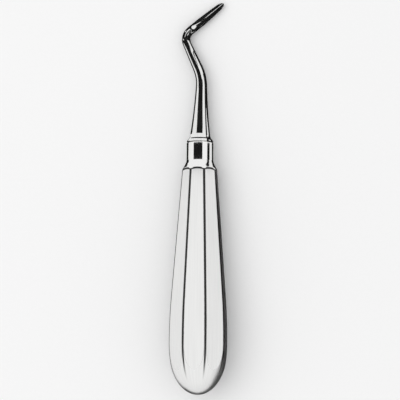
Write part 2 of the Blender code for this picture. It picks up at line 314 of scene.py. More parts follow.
def flat_reach(station):
    """Distance from the axis to the middle of a facet."""
    if station < BUTT_DEPTH:
        share = (BUTT_DEPTH - station) / FLAT_RUNOUT_LENGTH
        return GRIP_APOTHEM * math.sqrt(max(1 - share * share, 0.0))
    swell_radius = SWELL_LENGTH / math.sin(FACET_TAPER)
    run = min(station, PLANE_START) - BUTT_DEPTH
    drop = swell_radius - math.sqrt(swell_radius * swell_radius - run * run)
    drop += max(station - PLANE_START, 0.0) * math.tan(FACET_TAPER)
    return GRIP_APOTHEM - drop


def turned_reach(station):
    """Radius of the turned blank under the facets."""
    if station >= BUTT_DEPTH:
        return flat_reach(station) / math.cos(HALF_FACET) - CORNER_EASE
    widest = GRIP_APOTHEM / math.cos(HALF_FACET) - CORNER_EASE
    share = (BUTT_DEPTH - station) / BUTT_DEPTH
    return widest * math.sqrt(max(1 - share ** BUTT_FULLNESS, 0.0))


def butt_run(share):
    """The domed butt, with even steps round its dome."""
    station = BUTT_DEPTH * (1 - math.cos(math.pi / 2 * share))
    return station, turned_reach(station)


def handle_profile():
    """The turned outline: butt, swelling, grip, neck, cove, collar, its end and the bore."""
    grip_end = (PLANE_END, turned_reach(PLANE_END))
    cove_top = (PLANE_END + NECK_ROUND_LENGTH, blend(COLLAR_RADIUS, grip_end[1], COVE_SHARE))

    def grip_run(share):
        station = blend(BUTT_DEPTH, PLANE_END, share)
        return station, turned_reach(station)

    edge_low = (COLLAR_END - COLLAR_EDGE, COLLAR_RADIUS)
    edge_top = (COLLAR_END, COLLAR_RADIUS - COLLAR_EDGE)
    mouth = (COLLAR_END, BORE_RADIUS)
    bottom = (BORE_START, BORE_RADIUS)
    return profile(
        [
            butt_run,
            grip_run,
            arc_run(grip_end, cove_top, NECK_ROUND_BULGE),
            arc_run(cove_top, (NECK_END, COLLAR_RADIUS), -COVE_HOLLOW),
            line_run((NECK_END, COLLAR_RADIUS), edge_low),
            line_run(edge_low, edge_top),
            line_run(edge_top, mouth),
            line_run(mouth, bottom),
            line_run(bottom, (BORE_START, 0.0)),
        ]
    )


def handle_skin(steel, place):
    """The handle: eight ground facets on a turned blank, with strips of the blank between them."""
    outline = handle_profile()
    neck_run = 2.0

    def facet_half(u):
        station, radius = outline(u)
        reach = flat_reach(station)
        return math.acos(reach / radius) if radius > reach else 0.0

    def cut_depth(u, turn):
        station, radius = outline(u)
        return radius - flat_reach(station) / math.cos(turn)

    def edge_at(u, turn):
        """How near a place is to a facet's edge, 1 on it, and less where the edge is shallow."""
        turn = abs((turn + HALF_FACET) % (2 * HALF_FACET) - HALF_FACET)
        station, radius = outline(u)
        if radius < MM:
            return 0.0
        ahead = outline(u + 1e-4)
        span = math.hypot(ahead[0] - station, ahead[1] - radius)
        along = (cut_depth(u + 1e-4, turn) - cut_depth(u, turn)) / max(span, 1e-9)
        across = (cut_depth(u, turn + 1e-4) - cut_depth(u, turn)) / (1e-4 * radius)
        steepness = math.hypot(along, across)
        away = abs(cut_depth(u, turn)) / max(steepness, 1e-6)
        width = blend(LONG_EDGE_WIDTH, ARC_EDGE_WIDTH, abs(along) / max(steepness, 1e-6))
        near = max(1 - away / width, 0.0)
        return near * min(steepness / 0.3, 1.0)

    def turned(u, turn):
        station, radius = outline(u)
        return radius * math.sin(turn), station, radius * math.cos(turn)

    runout = crossing(lambda u: cut_depth(u, 0.0), 0.05, 1.0)
    neck = crossing(lambda u: cut_depth(u, 0.0), neck_run, neck_run + 1)
    butt_places = steps(0.0, runout, 26)[:-1]
    places = butt_places + steps_from_edge(runout, 1.0, 30)[:-1] + steps(1.0, neck_run, 44)[:-1]
    places += list(reversed(steps_from_edge(neck, neck_run, 18)))[:-1] + steps(neck, neck_run + 1, 3)
    skin = Skin()
    for number in range(FACETS):
        middle = 2 * HALF_FACET * number
        rows, corner_rows = [], []
        for u in places:
            half = facet_half(u) if runout < u < neck else 0.0
            rows.append([(u, middle + half * share) for share in FLAT_ACROSS])
            corner = steps(middle + half, middle + 2 * HALF_FACET - half, CORNER_COLUMNS)
            corner_rows.append([(u, turn) for turn in corner])
        flat_rows = [row for row in rows if runout * 0.999999 <= row[0][0] <= neck * 1.000001]

        def ground(u, turn, middle=middle):
            station = outline(u)[0]
            reach = flat_reach(station)
            side = reach * math.tan(turn - middle)
            x = reach * math.sin(middle) + side * math.cos(middle)
            z = reach * math.cos(middle) - side * math.sin(middle)
            return x, station, z

        def facet_grind(u, turn, middle=middle, number=number):
            station = outline(u)[0]
            side = flat_reach(station) * math.tan(turn - middle)
            return station / MM, side / MM + FACET_STRIDE * (number + 2)

        def turned_grind(u, turn):
            station, radius = outline(u)
            return station / MM, turn * FACETS

        skin.patch(ground, flat_rows, 1, facet_grind, edge_at)
        skin.patch(turned, corner_rows, 1, turned_grind, edge_at, turned=1.0)
    sections = steps(3.0, 4.0, 20)[:-1] + steps(4.0, 5.0, 4)[:-1] + [5.0, 6.0, 7.0, 8.0, 9.0]
    columns = FACETS * CORNER_COLUMNS
    rows = [[(u, 2 * math.pi * i / columns) for i in range(columns)] for u in sections]
    skin.patch(turned, rows, 1, lambda u, turn: (outline(u)[0] / MM, turn * FACETS), None, True, 1.0)
    return skin.finish("hollow_handle", place, steel)


# Shank and gouge


def place_on_path(station):
    """Point and heading of the bar's centre line, which leans a little and then bends twice."""
    runs = [
        (LEAN_START, 0.0),
        (SHOULDER_COVE_LENGTH, SHANK_LEAN),
        (STRAIGHT_LENGTH, 0.0),
        (FIRST_BEND_LENGTH, -FIRST_BEND_ANGLE),
        (OFFSET_LENGTH, 0.0),
        (SECOND_BEND_LENGTH, SECOND_BEND_ANGLE),
        (BLADE_LENGTH, 0.0),
    ]
    x, y, heading, left = 0.0, 0.0, 0.0, station
    for number, (length, turn) in enumerate(runs):
        run = left if number == len(runs) - 1 else min(left, length)
        angle = turn * run / length
        if turn:
            radius = length / turn
            x += (math.cos(heading) - math.cos(heading + angle)) * radius
            y += (math.sin(heading + angle) - math.sin(heading)) * radius
        else:
            x += math.sin(heading) * run
            y += math.cos(heading) * run
        heading += angle
        left -= run
        if left <= 0:
            break
    return x, y, heading


def on_section(station, across, height):
    """A point of the section across the bar's centre line."""
    x, y, heading = place_on_path(station)
    return x + math.cos(heading) * across, y - math.sin(heading) * across, height


def bar_profile():
    """The round bar's outline: tang, shoulder, root, taper, offset and second bend."""
    tang = TANG_DIAMETER / 2
    root = SHANK_ROOT_DIAMETER / 2
    end = SHANK_END_DIAMETER / 2
    shoulder = (SHOULDER_EDGE, COLLAR_RADIUS)
    round_end = (SHOULDER_ROUND_END, blend(COLLAR_RADIUS, root, SHOULDER_ROUND_SHARE))
    taper_end = (OFFSET_START, SHANK_DIAMETER / 2)
    corners = [
        (TANG_START, 0.0),
        (TANG_START, tang - TANG_CHAMFER),
        (TANG_START + TANG_CHAMFER, tang),
        (SHOULDER_START, tang),
        (SHOULDER_START, COLLAR_RADIUS - COLLAR_EDGE),
        shoulder,
    ]
    runs = [line_run(a, b) for a, b in zip(corners, corners[1:])]
    runs.append(arc_run(shoulder, round_end, SHOULDER_ROUND_BULGE))
    runs.append(arc_run(round_end, (SHANK_START, root), -SHOULDER_COVE_HOLLOW))
    runs.append(arc_run((SHANK_START, root), taper_end, -SHANK_HOLLOW))
    runs.append(line_run(taper_end, (OFFSET_END, end)))
    runs.append(line_run((OFFSET_END, end), (BLADE_START, end)))
    return profile(runs)


def arc_height(start, end, bulge, place):
    """Height of a shallow arc at a place between its ends."""
    (x0, y0), (x1, y1) = start, end
    run = arc_run(start, end, bulge)
    share = (place - x0) / (x1 - x0)
    for _ in range(3):
        share -= (run(share)[0] - place) / (x1 - x0)
    return run(share)[1]


def blade_half_widths(distance):
    """Half widths of the blade's straighter side and of its bellied side."""
    heel = SHANK_END_DIAMETER / 2
    nose = BLADE_NOSE_WIDTH / 2
    narrow = belly = nose
    if distance < BLADE_STRAIGHT:
        narrow = arc_height((0.0, heel), (BLADE_STRAIGHT, nose), BLADE_SIDE_SWELL, distance)
        belly = arc_height((0.0, heel), (BLADE_STRAIGHT, nose), BLADE_BELLY, distance)
    past = max(distance - BLADE_STRAIGHT, 0.0) / BLADE_NOSE_LENGTH
    closing = max(math.sqrt(max(1 - past * past, 0.0)), TIP_BLUNTNESS)
    return narrow * closing, belly * closing


def blade_heights(distance):
    """Height of the blade's face and depth of its rounded back."""
    heel = SHANK_END_DIAMETER / 2
    face = blend(heel, LIP_HEIGHT, ease(distance / FACE_RUN))
    back = arc_height((0.0, heel), (BLADE_LENGTH, TIP_THICKNESS), BACK_BULGE, distance)
    return face, back


def blade_outer(distance, turn):
    """Across and height of the blade's outer surface at a turn from its bellied side."""
    trailing, leading = blade_half_widths(distance)
    face, back = blade_heights(distance)
    across = math.cos(turn) * (leading if math.cos(turn) > 0 else trailing)
    return across, math.sin(turn) * (face if math.sin(turn) > 0 else back)


def trough_circle(distance):
    """Centre across, centre height and radius of the round-nosed grinding wheel at a distance."""
    start = (TROUGH_START, SHANK_END_DIAMETER / 2 + FIT_CLEARANCE)
    low = (TROUGH_LOW, -TROUGH_FLOOR)
    slope = (TROUGH_FLOOR - TROUGH_TIP_FLOOR) / (BLADE_LENGTH - TROUGH_LOW)
    run, fall = low[0] - start[0], start[1] - low[1]
    half_turn = math.atan2(fall, run) + math.atan(slope)
    bulge = math.hypot(run, fall) / 2 * math.tan(half_turn / 2)
    if distance < TROUGH_LOW:
        chord = math.hypot(run, fall)
        radius = (chord * chord / 4 + bulge * bulge) / (2 * bulge)
        lift = radius - bulge
        middle = ((start[0] + low[0]) / 2, (start[1] + low[1]) / 2)
        centre = (middle[0] + fall / chord * lift, middle[1] + run / chord * lift)
        height = centre[1] - math.sqrt(max(radius * radius - (distance - centre[0]) ** 2, 0.0))
    else:
        height = low[1] + slope * (distance - TROUGH_LOW)
    place = min(max(distance, TROUGH_LOW), BLADE_STRAIGHT)
    trailing, leading = blade_half_widths(place)
    half = (trailing + leading) / 2 - TROUGH_LIP
    depth = LIP_HEIGHT - (low[1] + slope * (place - TROUGH_LOW))
    radius = (half * half + depth * depth) / (2 * depth)
    return (leading - trailing) / 2, height + radius, radius


def outside_trough(distance, turn):
    """How far a point of the blade's outer surface lies outside the trough's circle."""
    across, height = blade_outer(distance, turn)
    centre, level, radius = trough_circle(distance)
    return math.hypot(across - centre, height - level) - radius


def gouge_skin(steel, place):
    """The bar with its two bends, and the gouge blade with its trough run out at the heel."""
    outline = bar_profile()
    top = math.pi / 2

    def bar(u, turn):
        station, radius = outline(u)
        return on_section(station, math.cos(turn) * radius, math.sin(turn) * radius)

    def back(distance, turn):
        across, height = blade_outer(distance, turn)
        return on_section(BLADE_START + distance, across, height)

    def trough(distance, swing):
        centre, level, radius = trough_circle(distance)
        across = centre + radius * math.sin(swing)
        return on_section(BLADE_START + distance, across, level - radius * math.cos(swing))

    def deepest(distance):
        return min((outside_trough(distance, top + 0.02 * i), top + 0.02 * i) for i in range(-20, 21))

    apex = crossing(lambda d: deepest(d)[0], TROUGH_START + 0.05 * MM, FACE_RUN)
    apex_turn = deepest(apex)[1]

    def lips(distance):
        if distance <= apex:
            return apex_turn, apex_turn
        middle = deepest(distance)[1]
        right = crossing(lambda t: outside_trough(distance, t), middle, -top + 0.02)
        left = crossing(lambda t: outside_trough(distance, t), middle, 3 * top - 0.02)
        return right, left

    def swing_of(distance, turn):
        across, height = blade_outer(distance, turn)
        centre, level, _ = trough_circle(distance)
        return math.atan2(across - centre, level - height)

    skin = Skin()
    counts = [1, 1, 1, 1, 2, 14, 14, 44, 22, 40]
    sections = []
    for number, count in enumerate(counts):
        sections += steps(number, number + 1, count)[:-1]
    rows = []
    for u in sections + [float(len(counts))]:
        rows.append([(u, apex_turn + 2 * math.pi * i / ROUND_COLUMNS) for i in range(ROUND_COLUMNS)])
    skin.patch(bar, rows, -1, lambda u, t: (outline(u)[0] / MM, t * 3), None, True)

    distances = steps(0.0, apex, 6)[:-1] + steps_from_edge(apex, TROUGH_LOW, 34)[:-1]
    distances += steps(TROUGH_LOW, BLADE_STRAIGHT, 26)[:-1]
    distances += [BLADE_STRAIGHT + BLADE_NOSE_LENGTH * math.sin(top * i / 14) for i in range(15)]
    back_rows, trough_rows, lip_of = [], [], {}
    for distance in distances:
        right, left = lips(distance)
        lip_of[distance] = (right, left)
        back_rows.append([(distance, turn) for turn in steps(left, right + 2 * math.pi, ROUND_COLUMNS)])
        if distance >= apex:
            swings = steps(swing_of(distance, left), swing_of(distance, right), TROUGH_COLUMNS)
            if distance == apex:
                swings = [swing_of(distance, apex_turn)] * (TROUGH_COLUMNS + 1)
            trough_rows.append([(distance, swing) for swing in swings])

    def back_edge(distance, turn):
        right, left = lip_of[distance]
        if distance < apex:
            return 0.0
        away = min(abs(turn - left), abs(turn - right - 2 * math.pi)) * blade_half_widths(distance)[0]
        return max(1 - away / LIP_WIDTH, 0.0)

    def trough_edge(distance, swing):
        right, left = (swing_of(distance, turn) for turn in lip_of[distance])
        radius = trough_circle(distance)[2]
        return max(1 - min(abs(swing - left), abs(swing - right)) * radius / LIP_WIDTH, 0.0)

    skin.patch(back, back_rows, -1, lambda d, t: ((BLADE_START + d) / MM, t * 3), back_edge)
    skin.patch(trough, trough_rows, 1, lambda d, s: ((BLADE_START + d) / MM, s * 3 + 60), trough_edge)
    return skin.finish("shank_and_gouge", place, steel)


# Shader helpers


class Bench:
    """Makes and joins the nodes of one tree."""

    def __init__(self, tree):
        self.tree = tree

    def add(self, kind, values=(), **settings):
        """A node with its settings, and values on its inputs by name or number."""
        node = self.tree.nodes.new(kind)
        for name, value in settings.items():
            setattr(node, name, value)
        for name, value in dict(values).items():
            if isinstance(value, bpy.types.NodeSocket):
                self.tree.links.new(value, node.inputs[name])
            else:
                node.inputs[name].default_value = value
        return node

    def math(self, operation, first, second=0.0):
        """The result of a sum on one or two values."""
        return self.add("ShaderNodeMath", {0: first, 1: second}, operation=operation).outputs[0]

    def ramp(self, value, low, high, to_low=0.0, to_high=1.0):
        """A value eased from one range into another."""
        ranges = {"Value": value, "From Min": low, "From Max": high, "To Min": to_low, "To Max": to_high}
        return self.add("ShaderNodeMapRange", ranges, interpolation_type="SMOOTHSTEP").outputs["Result"]

    def product(self, *values):
        """Two or more values multiplied."""
        result = values[0]
        for value in values[1:]:
            result = self.math("MULTIPLY", result, value)
        return result

    def vector_math(self, operation, first, second):
        """The result of a sum on two vectors."""
        return self.add("ShaderNodeVectorMath", {0: first, 1: second}, operation=operation).outputs[0]

    def noise(self, place, scale, detail):
        """Smooth random clouds."""
        values = {"Vector": place, "Scale": scale, "Detail": detail}
        return self.add("ShaderNodeTexNoise", values).outputs["Fac"]

    def mix_values(self, share, first, second):
        """A value between two."""
        return self.add("ShaderNodeMix", {0: share, 2: first, 3: second}, data_type="FLOAT").outputs[0]

    def mix(self, share, first, second):
        """A colour between two."""
        node = self.add("ShaderNodeMix", {"Factor": share}, data_type="RGBA")
        for socket, value in ((node.inputs[6], first), (node.inputs[7], second)):
            if isinstance(value, bpy.types.NodeSocket):
                self.tree.links.new(value, socket)
            else:
                socket.default_value = value
        return node.outputs[2]


def new_group(name, inputs, outputs):
    """An empty node group with named inputs and outputs, and its bench."""
    tree = bpy.data.node_groups.new(name, "ShaderNodeTree")
    for label, kind, value in inputs:
        socket = tree.interface.new_socket(name=label, in_out="INPUT", socket_type=kind)
        if value is not None:
            socket.default_value = value
    for label in outputs:
        tree.interface.new_socket(name=label, in_out="OUTPUT", socket_type="NodeSocketFloat")
    bench = Bench(tree)
    given = bench.add("NodeGroupInput").outputs
    result = bench.add("NodeGroupOutput").inputs
    return tree, bench, given, result


VECTOR, NUMBER = "NodeSocketVector", "NodeSocketFloat"


def grinding_group():
    """Fine lines left by the belt: long streaks of two widths along the first direction of the map."""
    inputs = [("Map", VECTOR, None), ("Line Length", NUMBER, 30.0)]
    inputs += [("Line Width", NUMBER, 0.12), ("Shift", NUMBER, 0.0)]
    tree, bench, given, result = new_group("grinding_lines", inputs, ("Lines", "Broad Lines"))
    for label, wider in (("Lines", 1.0), ("Broad Lines", 5.0)):
        along = bench.math("DIVIDE", 1.0, given["Line Length"])
        across = bench.math("DIVIDE", 1.0 / wider, given["Line Width"])
        scale = bench.add("ShaderNodeCombineXYZ", {"X": along, "Y": across, "Z": 1.0})
        sized = bench.vector_math("MULTIPLY", given["Map"], scale.outputs[0])
        shift = bench.add("ShaderNodeCombineXYZ", {"Z": given["Shift"]})
        moved = bench.vector_math("ADD", sized, shift.outputs[0])
        lines = bench.ramp(bench.noise(moved, 1.0, 3.0), 0.3, 0.7)
        tree.links.new(lines, result[label])
    return tree


def hairlines_group():
    """Sparse hairline scratches in three slanted directions, from use and from the tray."""
    inputs = [("Map", VECTOR, None), ("Spacing", NUMBER, 2.5), ("Amount", NUMBER, 0.5)]
    tree, bench, given, result = new_group("tray_hairlines", inputs, ("Hairlines",))
    layers = []
    for slant, stretch, drift in ((0.25, 45.0, 3.1), (-0.5, 30.0, 17.7), (1.1, 60.0, 41.3)):
        slanted = {"Vector": given["Map"], "Angle": slant}
        turned = bench.add("ShaderNodeVectorRotate", slanted, rotation_type="Z_AXIS")
        scale = bench.add("ShaderNodeCombineXYZ", {"X": 1.0 / stretch, "Y": 2.2, "Z": 1.0})
        sized = bench.vector_math("MULTIPLY", turned.outputs[0], scale.outputs[0])
        wider = {0: sized, "Scale": bench.math("DIVIDE", 2.5, given["Spacing"])}
        spaced = bench.add("ShaderNodeVectorMath", wider, operation="SCALE")
        moved = bench.vector_math("ADD", spaced.outputs[0], (drift, drift, drift))
        close = bench.math("ABSOLUTE", bench.math("SUBTRACT", bench.noise(moved, 1.0, 0.0), 0.5))
        layers.append(bench.ramp(close, 0.0, 0.008, 1.0, 0.0))
    where = bench.ramp(bench.noise(given["Map"], 0.16, 2.0), 0.45, 0.62)
    all_three = bench.math("MAXIMUM", bench.math("MAXIMUM", layers[0], layers[1]), layers[2])
    tree.links.new(bench.product(all_three, where, given["Amount"]), result["Hairlines"])
    return tree


def handling_group():
    """Cloudy film left by hands and by rinsing."""
    inputs = [("Place", VECTOR, None), ("Cloud Size", NUMBER, 12.0)]
    tree, bench, given, result = new_group("handling_film", inputs, ("Clouds",))
    per_metre = bench.math("DIVIDE", 1000.0, given["Cloud Size"])
    tree.links.new(bench.ramp(bench.noise(given["Place"], per_metre, 3.0), 0.35, 0.7), result["Clouds"])
    return tree


def edge_group():
    """Facet and lip edges: a line on the edge itself for painted shade and painted highlights, and a
    wider halo for burnished edges, broken up so that they aren't even.
    """
    inputs = [("Closeness", NUMBER, 0.0), ("Map", VECTOR, None), ("Break Up", NUMBER, 0.3)]
    tree, bench, given, result = new_group("painted_edge_lines", inputs, ("Line", "Halo"))
    noise = bench.noise(given["Map"], 0.7, 2.0)
    breaks = bench.math("MULTIPLY", bench.math("SUBTRACT", noise, 0.5), given["Break Up"])
    uneven = bench.math("ADD", given["Closeness"], breaks)
    tree.links.new(bench.ramp(uneven, 0.35, 0.85), result["Line"])
    tree.links.new(bench.ramp(uneven, 0.0, 0.7), result["Halo"])
    return tree


def new_steel(name):
    """An empty steel material with its shader, bench and the places that its patterns start from."""
    steel = bpy.data.materials.new(name)
    steel.use_nodes = True
    bench = Bench(steel.node_tree)
    shader = steel.node_tree.nodes["Principled BSDF"]
    shader.inputs["Metallic"].default_value = 1.0
    grind = bench.add("ShaderNodeUVMap", uv_map=GRIND_MAP).outputs["UV"]
    place = bench.add("ShaderNodeTexCoord").outputs["Object"]
    edge = bench.add("ShaderNodeAttribute", attribute_name=EDGE_CLOSENESS).outputs["Fac"]
    return steel, bench, shader, grind, place, edge


def satin_steel(groups):
    """Belt-ground stainless steel of the handle, with burnished edges, near-black painted shade lines
    along its facet edges, corner ridges and neck ring, and a polished neck and collar.
    """
    steel, bench, shader, grind, place, edge = new_steel("satin_steel")
    belt = bench.add("ShaderNodeGroup", node_tree=groups["grinding"])
    for name, value in (("Line Length", 26.0), ("Line Width", 0.10)):
        belt.inputs[name].default_value = value
    hair = bench.add("ShaderNodeGroup", node_tree=groups["hairlines"])
    hair.inputs["Amount"].default_value = 0.4
    film = bench.add("ShaderNodeGroup", node_tree=groups["handling"])
    film.inputs["Cloud Size"].default_value = 14.0
    painted_and_rubbed_edges = bench.add("ShaderNodeGroup", node_tree=groups["edges"])
    for node in (belt, hair, painted_and_rubbed_edges):
        bench.tree.links.new(grind, node.inputs["Map"])
    bench.tree.links.new(place, film.inputs["Place"])
    bench.tree.links.new(edge, painted_and_rubbed_edges.inputs["Closeness"])

    turned = bench.add("ShaderNodeAttribute", attribute_name=TURNED_FINISH).outputs["Fac"]
    on_map = bench.add("ShaderNodeSeparateXYZ", {"Vector": grind}).outputs
    station, round_place = on_map["X"], on_map["Y"]
    from_middle = bench.math("PINGPONG", round_place, FACET_STRIDE / 2)
    aside = bench.mix_values(turned, from_middle, RING_REACH / MM)
    arch = bench.math("MULTIPLY", bench.math("POWER", aside, 2.0), RING_ARCH)
    arched = bench.math("ADD", station, arch)
    ring_place = RING_STATION / MM
    neck = bench.ramp(arched, ring_place + POLISH_STARTS, ring_place + POLISH_FULL)
    ground = bench.math("SUBTRACT", 1.0, neck)
    # Painted shade: a near-black line down the middle of each corner strip, fading in past the butt.
    from_ridge = bench.math("ARCCOSINE", bench.math("MULTIPLY", bench.math("COSINE", round_place), -1.0))
    widths = (RIDGE_LINE_AT_SWELL, RIDGE_LINE_AT_NECK)
    ridge_width = bench.ramp(station, PLANE_START / MM, PLANE_END / MM, *widths)
    ridge = bench.ramp(bench.math("DIVIDE", from_ridge, ridge_width), 0.8, 1.2, 1.0, 0.0)
    ridge_run = bench.ramp(station, RIDGE_LINE_FROM, RIDGE_LINE_FULL)
    strip = bench.product(turned, ground, ridge, ridge_run)
    # Painted shade: a near-black ring line across the facets' upper ends, where they meet the neck.
    ring_away = bench.math("ABSOLUTE", bench.math("SUBTRACT", arched, ring_place))
    ring = bench.ramp(ring_away, RING_LINE_DARK, RING_LINE_CLEAR, 1.0, 0.0)

    pale, grey = (0.86, 0.86, 0.85, 1), (0.79, 0.79, 0.785, 1)
    scratched, line = (0.9, 0.9, 0.9, 1), (0.035, 0.035, 0.035, 1)
    both_lines = bench.math("ADD", belt.outputs["Lines"], belt.outputs["Broad Lines"])
    streaks = bench.math("MULTIPLY", both_lines, 0.5)
    colour = bench.mix(bench.math("MULTIPLY", streaks, ground), pale, grey)
    colour = bench.mix(bench.math("MULTIPLY", hair.outputs["Hairlines"], 0.35), colour, scratched)
    # Painted shade: near-black lines along the facet edges, fading in from the butt.
    edge_run = bench.ramp(station, CORNER_LINE_FROM, CORNER_LINE_FULL, 0.1, 1.0)
    corners = bench.product(painted_and_rubbed_edges.outputs["Line"], edge_run, ground)
    # The three painted shade lines are mixed into the colour in the near-black line colour.
    painted_shade = bench.math("MAXIMUM", bench.math("MAXIMUM", corners, strip), ring)
    colour = bench.mix(painted_shade, colour, line)
    bench.tree.links.new(colour, shader.inputs["Base Color"])

    rough = bench.math("ADD", 0.26, bench.math("MULTIPLY", streaks, 0.10))
    rough = bench.math("ADD", rough, bench.math("MULTIPLY", film.outputs["Clouds"], 0.05))
    rough = bench.math("SUBTRACT", rough, bench.math("MULTIPLY", painted_and_rubbed_edges.outputs["Halo"], 0.08))
    polished = bench.math("ADD", 0.07, bench.math("MULTIPLY", film.outputs["Clouds"], 0.05))
    bench.tree.links.new(bench.mix_values(neck, rough, polished), shader.inputs["Roughness"])

    broad = bench.math("MULTIPLY", belt.outputs["Broad Lines"], 0.6)
    height = bench.math("MULTIPLY", bench.math("ADD", belt.outputs["Lines"], broad), ground)
    height = bench.math("SUBTRACT", height, hair.outputs["Hairlines"])
    bump = bench.add("ShaderNodeBump", {"Strength": 0.35, "Distance": 0.004 * MM, "Height": height})
    bench.tree.links.new(bump.outputs["Normal"], shader.inputs["Normal"])
    return steel


def polished_steel(groups):
    """Mirror-polished stainless steel of the shank and the gouge, with faint polishing lines and a
    painted highlight along the gouge's lips.
    """
    steel, bench, shader, grind, place, edge = new_steel("polished_steel")
    mop = bench.add("ShaderNodeGroup", node_tree=groups["grinding"])
    for name, value in (("Line Length", 12.0), ("Line Width", 0.08), ("Shift", 7.0)):
        mop.inputs[name].default_value = value
    hair = bench.add("ShaderNodeGroup", node_tree=groups["hairlines"])
    hair.inputs["Amount"].default_value = 0.25
    film = bench.add("ShaderNodeGroup", node_tree=groups["handling"])
    film.inputs["Cloud Size"].default_value = 7.0
    painted_and_rubbed_edges = bench.add("ShaderNodeGroup", node_tree=groups["edges"])
    for node in (mop, hair, painted_and_rubbed_edges):
        bench.tree.links.new(grind, node.inputs["Map"])
    bench.tree.links.new(place, film.inputs["Place"])
    bench.tree.links.new(edge, painted_and_rubbed_edges.inputs["Closeness"])

    bright, grey, painted_edge_highlight = (0.82, 0.82, 0.81, 1), (0.74, 0.74, 0.735, 1), (0.92, 0.92, 0.92, 1)
    colour = bench.mix(bench.math("MULTIPLY", mop.outputs["Broad Lines"], 0.5), bright, grey)
    # Painted highlight: a brighter colour along the trough's lips and edges.
    colour = bench.mix(bench.math("MULTIPLY", painted_and_rubbed_edges.outputs["Line"], 0.5), colour, painted_edge_highlight)
    bench.tree.links.new(colour, shader.inputs["Base Color"])
    rough = bench.math("ADD", 0.05, bench.math("MULTIPLY", mop.outputs["Lines"], 0.05))
    rough = bench.math("ADD", rough, bench.math("MULTIPLY", film.outputs["Clouds"], 0.03))
    rough = bench.math("ADD", rough, bench.math("MULTIPLY", hair.outputs["Hairlines"], 0.15))
    bench.tree.links.new(rough, shader.inputs["Roughness"])
    mopped = bench.math("MULTIPLY", mop.outputs["Lines"], 0.5)
    height = bench.math("SUBTRACT", mopped, hair.outputs["Hairlines"])
    bump = bench.add("ShaderNodeBump", {"Strength": 0.2, "Distance": 0.002 * MM, "Height": height})
    bench.tree.links.new(bump.outputs["Normal"], shader.inputs["Normal"])
    return steel


# Studio: millimetres from the butt, and degrees from straight up, plus to the right

TILT_TO_VIEW = math.radians(8.0)
TURN_TO_VIEW = math.radians(8.6)
ROLL_TO_VIEW = math.radians(0.55)
PICTURE_PIXELS = 400
MM_PER_PIXEL = 0.38 * MM
LENS, SENSOR = 300.0, 36.0
VIEW_STATION = 74.13 * MM
SIDE_SHIFT_PIXELS = 0.5
FLOOR_REACH = 4.0
FLOOR_DROP = 0.01 * MM
TABLE_CARD_LIFT = 0.02 * MM
NEAR_CARD, COLLAR_CARD, FAR_CARD = 15, 20, 34
BLADE_CARD_SIDE = 7
SCREEN_STATION = 99.8


def instrument_place():
    """Where the instrument's own axis lies: on its lower facet, that flat's middle at the origin."""
    lay_down = Matrix.Rotation(-FACET_TAPER, 4, "X")
    middle = (PLANE_START + PLANE_END) / 2
    lay_down.translation = -(lay_down @ Vector((0.0, middle, -flat_reach(middle))))
    return lay_down


def photograph_camera(place):
    """The camera at the photograph's viewing angle, above the upper facet and a little to its right."""
    along = place.to_3x3() @ Vector((0, 1, 0))
    out = place.to_3x3() @ Vector((0, 0, 1))
    towards = out * math.cos(TURN_TO_VIEW) + Vector((1, 0, 0)) * math.sin(TURN_TO_VIEW)
    back = towards * math.cos(TILT_TO_VIEW) - along * math.sin(TILT_TO_VIEW)
    up = along * math.cos(TILT_TO_VIEW) + towards * math.sin(TILT_TO_VIEW)
    right = up.cross(back)
    picture_up = up * math.cos(ROLL_TO_VIEW) - right * math.sin(ROLL_TO_VIEW)
    picture_right = right * math.cos(ROLL_TO_VIEW) + up * math.sin(ROLL_TO_VIEW)
    distance = PICTURE_PIXELS * MM_PER_PIXEL * LENS / SENSOR
    target = place @ Vector((0, VIEW_STATION, 0)) + picture_right * SIDE_SHIFT_PIXELS * MM_PER_PIXEL
    camera = bpy.data.objects.new("camera", bpy.data.cameras.new("camera"))
    camera.data.lens = LENS
    camera.data.sensor_width = SENSOR
    camera.data.clip_start = 0.01
    matrix = Matrix((picture_right, picture_up, back)).transposed().to_4x4()
    matrix.translation = target + back * distance
    camera.matrix_world = matrix
    bpy.context.scene.collection.objects.link(camera)
    bpy.context.scene.camera = camera


def seen_directly(bench):
    """1 for the camera's rays and for reflections and refractions of the backdrop, 0 for its light."""
    path = bench.add("ShaderNodeLightPath").outputs
    seen = bench.math("MAXIMUM", path["Is Camera Ray"], path["Is Glossy Ray"])
    return bench.math("MAXIMUM", seen, path["Is Transmission Ray"])


def studio_floor():
    """A pale floor that runs out into the white backdrop away from the instrument."""
    mesh = bmesh.new()
    bmesh.ops.create_grid(mesh, x_segments=8, y_segments=8, size=FLOOR_REACH)
    body = bpy.data.meshes.new("floor")
    mesh.to_mesh(body)
    mesh.free()
    floor = bpy.data.objects.new("floor", body)
    floor.location = (0, 0, -FLOOR_DROP)
    bpy.context.scene.collection.objects.link(floor)
    paper = bpy.data.materials.new("pale_floor")
    paper.use_nodes = True
    bench = Bench(paper.node_tree)
    shader = paper.node_tree.nodes["Principled BSDF"]
    place = bench.add("ShaderNodeTexCoord").outputs["Object"]
    grain = bench.noise(place, 900.0, 2.0)
    colour = bench.mix(grain, (0.92, 0.92, 0.92, 1), (0.94, 0.94, 0.94, 1))
    bench.tree.links.new(colour, shader.inputs["Base Color"])
    shader.inputs["Roughness"].default_value = 0.9
    shader.inputs["Specular IOR Level"].default_value = 0.0
    glow = bench.add("ShaderNodeEmission", {"Color": (1, 1, 1, 1), "Strength": 1.0})
    away = bench.add("ShaderNodeVectorMath", {0: place}, operation="LENGTH").outputs["Value"]
    share = bench.math("MULTIPLY", bench.ramp(away, 0.3, 1.2), seen_directly(bench))
    both = bench.add("ShaderNodeMixShader", {0: share, 1: shader.outputs[0], 2: glow.outputs[0]})
    bench.tree.links.new(both.outputs[0], paper.node_tree.nodes["Material Output"].inputs["Surface"])
    body.materials.append(paper)


